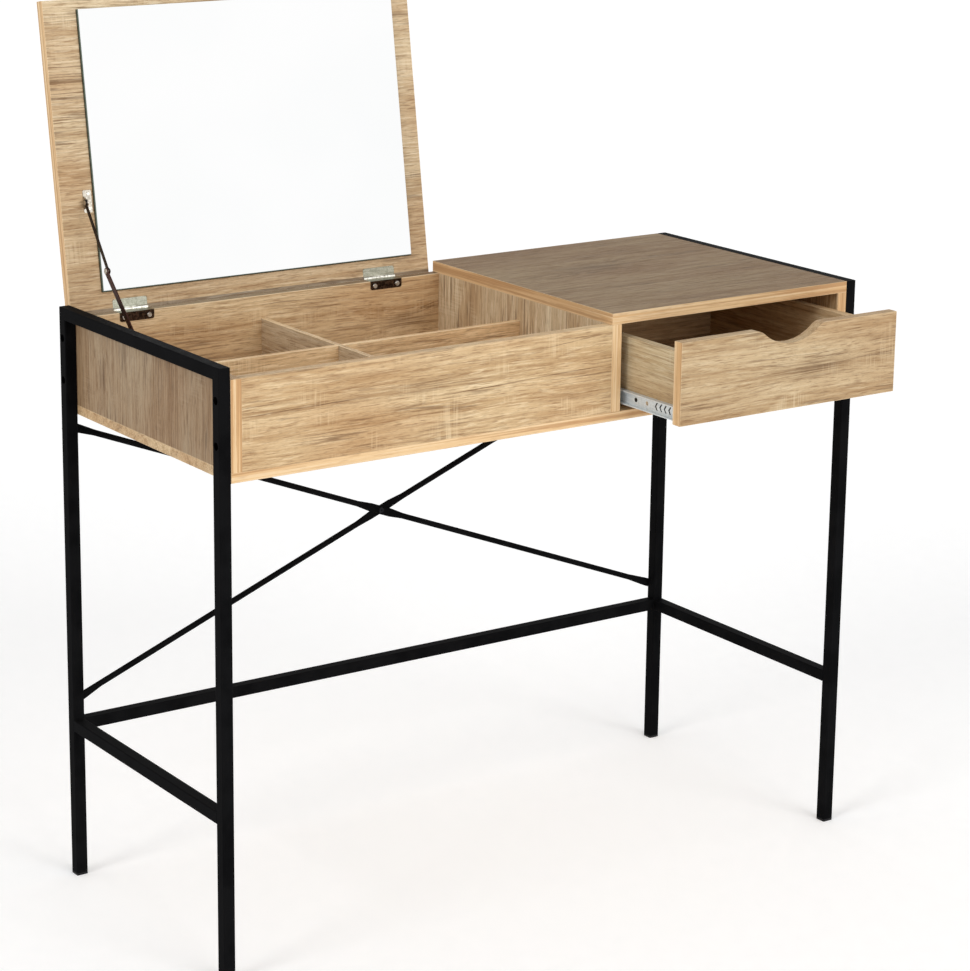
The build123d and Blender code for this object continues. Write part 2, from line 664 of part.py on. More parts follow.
with BuildPart() as hinge_screws_lid:
    flush_screws(LID, HINGE_LID_SCREWS, LEAF_SCREW_R, LEAF_SCREW_HEAD_R, LEAF_SCREW_LENGTH)
hinge_screws_lid.part.label = "hinge_screws_lid"
export_step(hinge_screws_lid.part, "parts/hinge_screws_lid.step")

with BuildPart() as hinge_screws_box:
    pan_screws(BOX_INNER_BACK.offset(HINGE_SHEET), HINGE_BOX_SCREWS, *HINGE_BOX_SCREW)
hinge_screws_box.part.label = "hinge_screws_box"
export_step(hinge_screws_box.part, "parts/hinge_screws_box.step")

# =============================================================================
# Lid stay: two flat arms beside the left panel. Stay planes face -X; their
# local x runs forward from the rear face of the box and local y is up.
# =============================================================================
A_GLOBAL = LID.from_local_coords((0, STAY_ALONG, STAY_OFF))
EYE = (REAR - A_GLOBAL.Y, A_GLOBAL.Z)


def stay_plane(x):
    """Plane of a stay arm whose right face is at x."""
    return Plane(origin=(x, REAR, 0), x_dir=(0, -1, 0), z_dir=(-1, 0, 0))


def arm_outline(start, stop, width, eye):
    """Straight bar between two pivots with a round eye at each."""
    span = hypot(stop[0] - start[0], stop[1] - start[1])
    turn = degrees(atan2(stop[1] - start[1], stop[0] - start[0]))
    with Locations(((start[0] + stop[0]) / 2, (start[1] + stop[1]) / 2)):
        SlotCenterToCenter(span, width, rotation=turn)
    with Locations(start, stop):
        Circle(eye)


with BuildPart() as stay_arm_upper:
    with BuildSketch(stay_plane(UPPER_ARM_RIGHT)):
        arm_outline(EYE, ELBOW, UPPER_ARM_WIDTH, EYE_R)
        with Locations(EYE):
            Circle(STAY_PIN_R + STAY_FIT, mode=Mode.SUBTRACT)
    extrude(amount=ARM_SHEET)
    with BuildSketch(stay_plane(UPPER_ARM_RIGHT)):
        with Locations(ELBOW):
            Circle(RIVET_HEAD_R)
    extrude(amount=-UPPER_RIVET_HEAD, taper=RIVET_DOME)
stay_arm_upper.part.label = "stay_arm_upper"
export_step(stay_arm_upper.part, "parts/stay_arm_upper.step")

with BuildPart() as stay_arm_lower:
    with BuildSketch(stay_plane(LOWER_ARM_RIGHT)):
        arm_outline(ELBOW, ANCHOR, LOWER_ARM_WIDTH, EYE_R)
        with Locations(ANCHOR, ELBOW):
            Circle(STAY_PIN_R + STAY_FIT, mode=Mode.SUBTRACT)
    extrude(amount=ARM_SHEET)
stay_arm_lower.part.label = "stay_arm_lower"
export_step(stay_arm_lower.part, "parts/stay_arm_lower.step")

# The elbow rivet is fixed in the lower arm and stops just short of the upper.
with BuildPart() as stay_rivet:
    with BuildSketch(stay_plane(LOWER_ARM_RIGHT)):
        with Locations(ELBOW):
            Circle(STAY_PIN_R)
    extrude(amount=ARM_SHEET)
    with BuildSketch(stay_plane(LOWER_ARM_RIGHT)):
        with Locations(ELBOW):
            Circle(RIVET_HEAD_R)
    extrude(amount=-RIVET_SPACER)
    with BuildSketch(stay_plane(LOWER_ARM_RIGHT - ARM_SHEET)):
        with Locations(ELBOW):
            Circle(RIVET_HEAD_R)
    extrude(amount=RIVET_HEAD, taper=RIVET_DOME)
stay_rivet.part.label = "stay_rivet"
export_step(stay_rivet.part, "parts/stay_rivet.step")

with BuildPart() as stay_box_bracket:
    plate_right = -SIDE_INNER + BRACKET_PLATE
    arm_left = LOWER_ARM_RIGHT - ARM_SHEET
    with BuildSketch(stay_plane(plate_right)):
        with Locations(ANCHOR):
            SlotOverall(*ANCHOR_PLATE)
    extrude(amount=BRACKET_PLATE)
    with BuildSketch(stay_plane(plate_right)):
        with Locations(ANCHOR):
            Circle(ANCHOR_BOSS_R)
    extrude(amount=-(arm_left - STAY_SIDE_GAP - plate_right))
    with BuildSketch(stay_plane(arm_left - STAY_SIDE_GAP)):
        with Locations(ANCHOR):
            Circle(STAY_PIN_R)
    extrude(amount=-(ARM_SHEET + 2 * STAY_SIDE_GAP))
    with BuildSketch(stay_plane(LOWER_ARM_RIGHT + STAY_SIDE_GAP)):
        with Locations(ANCHOR):
            Circle(ANCHOR_BOSS_R)
    extrude(amount=-ANCHOR_HEAD)
    drill(side_plane(1, plate_right), [(-u, z) for u, z in ANCHOR_SCREWS], SMALL_R, BRACKET_PLATE)
stay_box_bracket.part.label = "stay_box_bracket"
export_step(stay_box_bracket.part, "parts/stay_box_bracket.step")

with BuildPart() as stay_lid_bracket:
    with BuildSketch(LID):
        with Locations((BRACKET_LEFT + BRACKET_WIDTH / 2, (BRACKET_LOW + BRACKET_HIGH) / 2)):
            RectangleRounded(BRACKET_WIDTH, BRACKET_HIGH - BRACKET_LOW, BRACKET_CORNER)
    extrude(amount=BRACKET_PLATE)
    ear_root = LID.from_local_coords((BRACKET_LEFT, STAY_ALONG, 0))
    with BuildSketch(Plane(origin=ear_root, x_dir=LID.y_dir, z_dir=(1, 0, 0))):
        with BuildLine():
            Polyline((-EAR_FOOT, 0), (EAR_FOOT, 0), (EYE_R, STAY_OFF), (-EYE_R, STAY_OFF), close=True)
        make_face()
        with Locations((0, STAY_OFF)):
            Circle(EYE_R)
    extrude(amount=EAR)
    with BuildSketch(stay_plane(BRACKET_LEFT)):
        with Locations(EYE):
            Circle(STAY_PIN_R)
    extrude(amount=BRACKET_LEFT - UPPER_ARM_RIGHT + ARM_SHEET + STAY_SIDE_GAP)
    with BuildSketch(stay_plane(UPPER_ARM_RIGHT - ARM_SHEET - STAY_SIDE_GAP)):
        with Locations(EYE):
            Circle(EAR_HEAD_R)
    extrude(amount=EAR_HEAD)
    drill(LID.offset(BRACKET_PLATE), BRACKET_SCREWS, SMALL_R, BRACKET_PLATE)
stay_lid_bracket.part.label = "stay_lid_bracket"
export_step(stay_lid_bracket.part, "parts/stay_lid_bracket.step")

with BuildPart() as stay_screws_lid:
    pan_screws(LID.offset(BRACKET_PLATE), BRACKET_SCREWS, *SMALL_SCREW)
stay_screws_lid.part.label = "stay_screws_lid"
export_step(stay_screws_lid.part, "parts/stay_screws_lid.step")

with BuildPart() as stay_screws_box:
    anchor_points = [(-u, z) for u, z in ANCHOR_SCREWS]
    pan_screws(side_plane(1, -SIDE_INNER + BRACKET_PLATE), anchor_points, *SMALL_SCREW)
stay_screws_box.part.label = "stay_screws_box"
export_step(stay_screws_box.part, "parts/stay_screws_box.step")

# =============================================================================
# Drawer, drawn pulled out by DRAWER_OPEN
# =============================================================================
FACE_Y = -REAR - DRAWER_OPEN
BACK_OF_FRONT = FACE_Y + BOARD
DRAWER_END = BACK_OF_FRONT + DRAWER_LENGTH
FRONT_LEFT = PARTITION_RIGHT + FRONT_GAP
FRONT_RIGHT = SIDE_INNER - FRONT_GAP
BAY_MIDDLE = (FRONT_LEFT + FRONT_RIGHT) / 2
SIDE_OUTER = (PARTITION_RIGHT + SLIDE_GAP, SIDE_INNER - SLIDE_GAP)
SIDE_FACE = (SIDE_OUTER[0] + DRAWER_SIDE, SIDE_OUTER[1] - DRAWER_SIDE)
GROOVE_Z = (DRAWER_BASE_Z - GROOVE_GAP, DRAWER_BASE_Z + DRAWER_BASE + GROOVE_GAP)
SIDE_MIDDLES = (SIDE_OUTER[0] + DRAWER_SIDE / 2, SIDE_OUTER[1] - DRAWER_SIDE / 2)
DRAWER_DOWELS = [(x, z) for x in SIDE_MIDDLES for z in DRAWER_DOWEL_Z]
DOWEL_FACE = front_plane(BACK_OF_FRONT - DOWEL_LENGTH / 2 + 1)
BACK_Y = (DRAWER_END - DRAWER_SIDE, DRAWER_END)
BOTTOM_HOUSED = GROOVE - GROOVE_GAP


def back_screws(side):
    """Screws into the drawer's back, in one side's plane."""
    return [(side * (BACK_Y[0] + BACK_Y[1]) / 2, z) for z in BACK_SCREWS_Z]


def drawer_rail_screws(side):
    """Screws of a drawer rail, in one side's plane."""
    return [(side * (BACK_OF_FRONT + s), SLIDE_Z) for s in DRAWER_RAIL_SCREWS]


def bottom_groove(x, y):
    """Groove that houses the drawer bottom."""
    with BuildSketch(Plane.XY.offset(GROOVE_Z[0])) as slot:
        with Locations(((x[0] + x[1]) / 2, (y[0] + y[1]) / 2)):
            Rectangle(x[1] - x[0], y[1] - y[0])
    extrude(slot.sketch, amount=GROOVE_Z[1] - GROOVE_Z[0], mode=Mode.SUBTRACT)


with BuildPart() as drawer_front:
    board((FRONT_LEFT, FRONT_RIGHT), (FACE_Y, BACK_OF_FRONT), (FRONT_BOTTOM, FRONT_TOP))
    # Finger notch: a shallow concave arc that rolls over two convex lips.
    bowl_r = (NOTCH_HALF**2 + NOTCH_DEPTH**2) / (2 * NOTCH_DEPTH) - NOTCH_LIP_R
    lip = Vector(-NOTCH_HALF, -NOTCH_LIP_R)
    bowl = Vector(0, bowl_r - NOTCH_DEPTH)
    swing = atan2(bowl.Y - lip.Y, bowl.X - lip.X)
    meet = lip + Vector(cos(swing), sin(swing)) * NOTCH_LIP_R
    half_turn = (swing + pi / 2) / 2
    crest = lip + Vector(cos(half_turn), sin(half_turn)) * NOTCH_LIP_R
    with BuildSketch(front_plane(BACK_OF_FRONT)):
        with Locations((BAY_MIDDLE, FRONT_TOP)):
            with BuildSketch(mode=Mode.PRIVATE) as notch:
                with BuildLine():
                    ThreePointArc((-NOTCH_HALF, 0), (crest.X, crest.Y), (meet.X, meet.Y))
                    ThreePointArc((meet.X, meet.Y), (0, -NOTCH_DEPTH), (-meet.X, meet.Y))
                    ThreePointArc((-meet.X, meet.Y), (-crest.X, crest.Y), (NOTCH_HALF, 0))
                    Polyline((NOTCH_HALF, 0), (NOTCH_HALF, NOTCH_OVER), (-NOTCH_HALF, NOTCH_OVER),
                             (-NOTCH_HALF, 0))
                make_face()
            add(notch.sketch)
    extrude(amount=BOARD, mode=Mode.SUBTRACT)
    bottom_groove((SIDE_FACE[0] - BOTTOM_HOUSED, SIDE_FACE[1] + BOTTOM_HOUSED),
                  (BACK_OF_FRONT - GROOVE, BACK_OF_FRONT))
    dowel_holes_rear = [(-x, z) for x, z in DRAWER_DOWELS]
    drill(rear_plane(BACK_OF_FRONT), dowel_holes_rear, DOWEL_R, DOWEL_LENGTH / 2 - 1)
drawer_front.part.label = "drawer_front"
export_step(drawer_front.part, "parts/drawer_front.step")

for (x_tag, side), outer, inner in zip(SIDES, SIDE_OUTER, SIDE_FACE):
    with BuildPart() as drawer_side:
        board(sorted((outer, inner)), (BACK_OF_FRONT, DRAWER_END), (DRAWER_LOW, DRAWER_TOP))
        bottom_groove(sorted((inner, inner + side * GROOVE)), (BACK_OF_FRONT, BACK_Y[0] + GROOVE))
        drill(front_plane(BACK_OF_FRONT), DRAWER_DOWELS, DOWEL_R, DOWEL_LENGTH / 2 + 1)
        sink(side_plane(side, outer), back_screws(side), SCREW_R, SCREW_HEAD_R, DRAWER_SIDE)
        drill(side_plane(side, outer), drawer_rail_screws(side), SCREW_R, DRAWER_SCREW_BITE)
    drawer_side.part.label = f"drawer_side_{x_tag}"
    export_step(drawer_side.part, f"parts/drawer_side_{x_tag}.step")

with BuildPart() as drawer_back:
    board(SIDE_FACE, BACK_Y, (DRAWER_LOW, DRAWER_TOP))
    bottom_groove(SIDE_FACE, (BACK_Y[0], BACK_Y[0] + GROOVE))
    for side, inner in zip((-1, 1), SIDE_FACE):
        drill(side_plane(side, inner), back_screws(side), SCREW_R, BACK_SCREW_BITE)
drawer_back.part.label = "drawer_back"
export_step(drawer_back.part, "parts/drawer_back.step")

with BuildPart() as drawer_bottom:
    board((SIDE_FACE[0] - BOTTOM_HOUSED, SIDE_FACE[1] + BOTTOM_HOUSED),
          (BACK_OF_FRONT - BOTTOM_HOUSED, BACK_Y[0] + BOTTOM_HOUSED),
          (DRAWER_BASE_Z, DRAWER_BASE_Z + DRAWER_BASE), ease=0)
drawer_bottom.part.label = "drawer_bottom"
export_step(drawer_bottom.part, "parts/drawer_bottom.step")

with BuildPart() as drawer_dowels:
    with BuildSketch(DOWEL_FACE):
        with Locations(*DRAWER_DOWELS):
            Circle(DOWEL_R)
    extrude(amount=-DOWEL_LENGTH)
drawer_dowels.part.label = "drawer_dowels"
export_step(drawer_dowels.part, "parts/drawer_dowels.step")

with BuildPart() as drawer_screws:
    for side, outer in zip((-1, 1), SIDE_OUTER):
        flush_screws(side_plane(side, outer), back_screws(side), SCREW_R, SCREW_HEAD_R,
                     DRAWER_SIDE + BACK_SCREW_BITE)
drawer_screws.part.label = "drawer_screws"
export_step(drawer_screws.part, "parts/drawer_screws.step")

# =============================================================================
# Ball slides: a rail on the wall, a rail on the drawer, and a ball cage
# =============================================================================


def channel(wall, side, z, height, depth, sheet, start, length):
    """C channel with its web on a wall, open towards side, running to +Y."""
    web = wall + side * sheet / 2
    with BuildSketch(front_plane(start)) as section:
        with Locations((web, z)):
            Rectangle(sheet, height)
        with Locations(*[(wall + side * depth / 2, z + s * (height - sheet) / 2) for s in (-1, 1)]):
            Rectangle(depth, sheet)
    extrude(section.sketch, amount=-length)


def chevron(tip):
    """Corners of one arrow-shaped slot in a rail, pointing to +Y."""
    corners = [(CHEVRON_BACK, CHEVRON_HALF), (CHEVRON_SHOULDER, CHEVRON_HALF), (CHEVRON_TIP, 0)]
    corners += [(CHEVRON_SHOULDER, -CHEVRON_HALF), (CHEVRON_BACK, -CHEVRON_HALF), (CHEVRON_NICK, 0)]
    return [(tip + y, SLIDE_Z + z) for y, z in corners]


for (x_tag, side), wall, outer in zip(SIDES, (PARTITION_RIGHT, SIDE_INNER), SIDE_OUTER):
    inward = -side
    with BuildPart() as slide_outer:
        channel(wall, inward, SLIDE_Z, OUTER_RAIL_HIGH, OUTER_RAIL_DEEP, SLIDE_SHEET, OUTER_RAIL_START,
                DRAWER_LENGTH)
        rail_screws = [(inward * y, z) for y, z in RAIL_SCREWS]
        sink(side_plane(inward, wall + inward * SLIDE_SHEET), rail_screws, SCREW_R, SCREW_R + SLIDE_SHEET,
             SLIDE_SHEET)
    slide_outer.part.label = f"slide_cabinet_rail_{x_tag}"
    export_step(slide_outer.part, f"parts/slide_cabinet_rail_{x_tag}.step")

    with BuildPart() as slide_inner:
        channel(outer, side, SLIDE_Z, INNER_RAIL_HIGH, INNER_RAIL_DEEP, SLIDE_SHEET, BACK_OF_FRONT,
                DRAWER_LENGTH)
        web_plane = side_plane(side, outer + side * SLIDE_SHEET)
        sink(web_plane, drawer_rail_screws(side), SCREW_R, SCREW_R + SLIDE_SHEET, SLIDE_SHEET)
        spare_hole = (side * (BACK_OF_FRONT + RAIL_HOLE_ALONG), SLIDE_Z)
        drill(web_plane, [spare_hole], RAIL_HOLE_R, SLIDE_SHEET)
        web_face = outer + side * SLIDE_SHEET
        with BuildSketch(Plane(origin=(web_face, 0, 0), x_dir=(0, 1, 0), z_dir=(1, 0, 0))):
            for i in range(CHEVRONS):
                with BuildLine():
                    Polyline(chevron(BACK_OF_FRONT + CHEVRON_FIRST + i * CHEVRON_PITCH), close=True)
                make_face()
        extrude(amount=-side * SLIDE_SHEET, mode=Mode.SUBTRACT)
    slide_inner.part.label = f"slide_drawer_rail_{x_tag}"
    export_step(slide_inner.part, f"parts/slide_drawer_rail_{x_tag}.step")

    ball_z = (OUTER_RAIL_HIGH / 2 - SLIDE_SHEET + INNER_RAIL_HIGH / 2) / 2
    cage_start = CAGE_CLOSED_START - DRAWER_OPEN / 2
    with BuildPart() as cage:
        channel(wall + inward * CAGE_X, inward, SLIDE_Z, 2 * ball_z + CAGE_SHEET, OUTER_RAIL_DEEP - CAGE_X,
                CAGE_SHEET, cage_start, CAGE_LENGTH)
        first = cage_start + (CAGE_LENGTH - (BALLS - 1) * BALL_PITCH) / 2
        with Locations(*[(wall + inward * BALL_X, first + i * BALL_PITCH, SLIDE_Z + s * ball_z)
                         for i in range(BALLS) for s in (-1, 1)]):
            Sphere(BALL_R)
    cage.part.label = f"slide_cage_{x_tag}"
    export_step(cage.part, f"parts/slide_cage_{x_tag}.step")

with BuildPart() as slide_screws_cabinet:
    for side, wall in ((1, PARTITION_RIGHT), (-1, SIDE_INNER)):
        points = [(side * y, z) for y, z in RAIL_SCREWS]
        flush_screws(side_plane(side, wall + side * SLIDE_SHEET), points, SCREW_R,
                     SCREW_R + SLIDE_SHEET, SLIDE_SHEET + WALL_SCREW_BITE)
slide_screws_cabinet.part.label = "slide_screws_cabinet"
export_step(slide_screws_cabinet.part, "parts/slide_screws_cabinet.step")

with BuildPart() as slide_screws_drawer:
    for side, outer in zip((-1, 1), SIDE_OUTER):
        plane = side_plane(side, outer + side * SLIDE_SHEET)
        flush_screws(plane, drawer_rail_screws(side), SCREW_R, SCREW_R + SLIDE_SHEET,
                     SLIDE_SHEET + DRAWER_SCREW_BITE)
slide_screws_drawer.part.label = "slide_screws_drawer"
export_step(slide_screws_drawer.part, "parts/slide_screws_drawer.step")
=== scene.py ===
import json
import math

import bmesh
import bpy
from mathutils import Matrix, Vector


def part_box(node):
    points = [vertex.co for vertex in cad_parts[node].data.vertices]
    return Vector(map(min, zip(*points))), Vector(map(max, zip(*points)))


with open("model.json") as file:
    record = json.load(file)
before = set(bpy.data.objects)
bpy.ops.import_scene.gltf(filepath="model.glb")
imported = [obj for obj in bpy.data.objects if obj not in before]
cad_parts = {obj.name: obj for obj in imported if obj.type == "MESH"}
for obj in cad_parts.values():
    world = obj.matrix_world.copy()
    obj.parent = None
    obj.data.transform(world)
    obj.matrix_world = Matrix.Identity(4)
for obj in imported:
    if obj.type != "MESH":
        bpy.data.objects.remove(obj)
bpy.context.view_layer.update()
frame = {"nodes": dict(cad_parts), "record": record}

nodes = frame["nodes"]
MM = 0.001
LID_LEAN = math.radians(9)
HINGE_PIN = (0.0, 0.2075, 0.7603)


# ---- colours ---------------------------------------------------------------
def linear(value):
    value /= 255
    return value / 12.92 if value <= 0.04045 else ((value + 0.055) / 1.055) ** 2.4


def rgb(red, green, blue):
    """A colour given as 0 to 255, as Blender's linear values."""
    return (linear(red), linear(green), linear(blue), 1.0)


# ---- a small layer over shader nodes ---------------------------------------
class Shader:
    def __init__(self, name):
        self.material = bpy.data.materials.new(name)
        self.material.use_nodes = True
        self.tree = self.material.node_tree
        self.surface = self.tree.nodes["Principled BSDF"]
        self.where = self.node("TexCoord").outputs["Object"]

    def node(self, kind, inputs=None, **settings):
        made = self.tree.nodes.new("ShaderNode" + kind)
        for key, value in settings.items():
            setattr(made, key, value)
        for key, value in (inputs or {}).items():
            self.plug(value, made.inputs[key])
        return made

    def plug(self, value, socket):
        if isinstance(value, bpy.types.NodeSocket):
            self.tree.links.new(value, socket)
        else:
            socket.default_value = value

    def set(self, **values):
        """Sockets of the surface shader, by name with _ for a space."""
        for key, value in values.items():
            self.plug(value, self.surface.inputs[key.replace("_", " ")])

    def math(self, operation, *terms):
        return self.node("Math", dict(enumerate(terms)), operation=operation).outputs[0]

    def vector(self, operation, *terms):
        made = self.node("VectorMath", dict(enumerate(terms)), operation=operation)
        return made.outputs["Vector"]

    def mapped(self, vector, scale=(1, 1, 1), location=(0, 0, 0), rotation=(0, 0, 0)):
        inputs = {"Vector": vector, "Scale": scale, "Location": location, "Rotation": rotation}
        return self.node("Mapping", inputs).outputs[0]

    def noise(self, vector, scale, detail=2.0, roughness=0.5, distortion=0.0):
        inputs = {"Vector": vector, "Scale": scale, "Detail": detail,
                  "Roughness": roughness, "Distortion": distortion}
        return self.node("TexNoise", inputs).outputs[0]

    def spread(self, value, low, high, to_low=0.0, to_high=1.0):
        inputs = {"Value": value, "From Min": low, "From Max": high,
                  "To Min": to_low, "To Max": to_high}
        return self.node("MapRange", inputs, interpolation_type="SMOOTHSTEP").outputs[0]

    def mix(self, factor, first, second, blend="MIX"):
        made = self.node("Mix", data_type="RGBA", blend_type=blend)
        self.plug(factor, made.inputs[0])
        self.plug(first, made.inputs[6])
        self.plug(second, made.inputs[7])
        return made.outputs[2]

    def bump(self, height, distance, strength=1.0):
        inputs = {"Height": height, "Distance": distance, "Strength": strength}
        return self.node("Bump", inputs).outputs[0]

    def facing(self, axis, sign):
        """1 on the faces whose rest-frame normal points along one axis."""
        normal = self.node("TexCoord").outputs["Normal"]
        parts = self.node("SeparateXYZ", {0: normal}).outputs
        toward = self.math("MULTIPLY", parts[axis], float(sign))
        return self.spread(toward, 0.6, 0.9)

    def edge_wear_and_highlight(self, place, box, width, jitter):
        """1 on the long edges of a block that fills a box, fading over width."""
        low, high = box
        centre, half = (low + high) / 2, (high - low) / 2
        offset = self.vector("ABSOLUTE", self.vector("SUBTRACT", place, tuple(centre)))
        depth = self.vector("SUBTRACT", tuple(half), offset)
        a, b, c = self.node("SeparateXYZ", {0: depth}).outputs
        small, large = self.math("MINIMUM", a, b), self.math("MAXIMUM", a, b)
        middle = self.math("MAXIMUM", small, self.math("MINIMUM", large, c))
        ragged = self.math("ADD", middle, self.math("MULTIPLY", jitter, width))
        return self.spread(ragged, width * 0.3, width * 1.3, 1.0, 0.0)


# ---- oak-faced board ---------------------------------------------------------
AXES = {"x": (0, 1, 2), "y": (1, 2, 0), "z": (2, 0, 1)}
OAK_LIGHT = (214, 187, 147)
OAK_BASE = (192, 160, 118)
OAK_DARK = (140, 104, 68)
OAK_PALE = (234, 212, 175)
OAK_LINE = (104, 74, 46)
OAK_SLOW = (208, 176, 140)
BAND_LIGHT = (222, 188, 142)
BAND_BASE = (206, 166, 118)
BAND_LINE = (166, 120, 76)

# how fine each layer of the grain is: per metre along it, per metre across it
WANDER = (2.4, 9)
RINGS = (1.5, 64)
STREAKS = (7, 260)
TONE = (3.0, 9)
LINES = (4.0, 160)
WHERE_LINES = (8, 44)
DASHES = (34, 520)
FLECKS = (26, 430)
PORES = (120, 2300)
SAW_CUTS = (430, 16)
SAW_PATCHES = (15, 24)
WANDER_PUSH = 0.011
CRACK_WOBBLE = 0.012
CRACK_FADE = 0.05
BAND_LINES = (2.5, 330)
BAND_CLOUDS = (6, 60)
BAND_FLECKS = (40, 700)


def stretched(grain, along, across):
    """A scale that is low along the grain and high across it."""
    scale = [across] * 3
    scale[AXES[grain][0]] = along
    return tuple(scale)


def swell(s, parts, axes, knot):
    """How near a point is to one knot, and how far it lifts the grain."""
    along, across, length, width, strength = knot
    du = s.math("DIVIDE", s.math("SUBTRACT", parts[axes[0]], along), length)
    dv = s.math("DIVIDE", s.math("SUBTRACT", parts[axes[1]], across), width)
    far = s.math("ADD", s.math("MULTIPLY", du, du), s.math("MULTIPLY", dv, dv))
    near = s.math("EXPONENT", s.math("MULTIPLY", far, -1.0))
    return near, s.math("MULTIPLY", near, s.math("MULTIPLY", dv, strength * width))


def crack(s, parts, axes, line, wobble):
    """1 on one long thin line that runs nearly along the grain."""
    start, stop, at_start, at_stop, width = line
    slope = (at_stop - at_start) / (stop - start)
    middle = s.math("ADD", s.math("MULTIPLY", s.math("SUBTRACT", parts[axes[0]], start), slope),
                    at_start)
    off = s.math("SUBTRACT", s.math("SUBTRACT", parts[axes[1]], middle), wobble)
    thin = s.spread(s.math("ABSOLUTE", off), 0.0, width, 1.0, 0.0)
    enter = s.spread(parts[axes[0]], start, start + CRACK_FADE)
    leave = s.spread(parts[axes[0]], stop - CRACK_FADE, stop, 1.0, 0.0)
    return s.math("MULTIPLY", thin, s.math("MULTIPLY", enter, leave))


def edge_foil(s, place, run):
    """Edge banding: a lighter tan strip with thin lines along the edge."""
    long_lines = s.noise(s.mapped(place, stretched(run, *BAND_LINES), (0.3, 0.8, 0.5)),
                         1.0, 2.0)
    clouds = s.noise(s.mapped(place, stretched(run, *BAND_CLOUDS)), 1.0, 3.0)
    flecks = s.noise(s.mapped(place, stretched(run, *BAND_FLECKS), (0.6, 0.1, 0.2)),
                     1.0, 2.0)
    foil = s.mix(s.spread(clouds, 0.36, 0.64), rgb(*BAND_BASE), rgb(*BAND_LIGHT))
    foil = s.mix(s.math("MULTIPLY", s.spread(long_lines, 0.51, 0.60), 0.55), foil,
                 rgb(*BAND_LINE))
    foil = s.mix(s.math("MULTIPLY", s.spread(long_lines, 0.47, 0.38), 0.45), foil,
                 rgb(*OAK_PALE))
    return s.mix(s.math("MULTIPLY", s.spread(flecks, 0.55, 0.70), 0.35), foil,
                 rgb(*BAND_LINE))


def multiplied(s, colour, factors):
    """Colour with each channel multiplied by its own factor."""
    return s.mix(1.0, colour, (*factors, 1.0), "MULTIPLY")


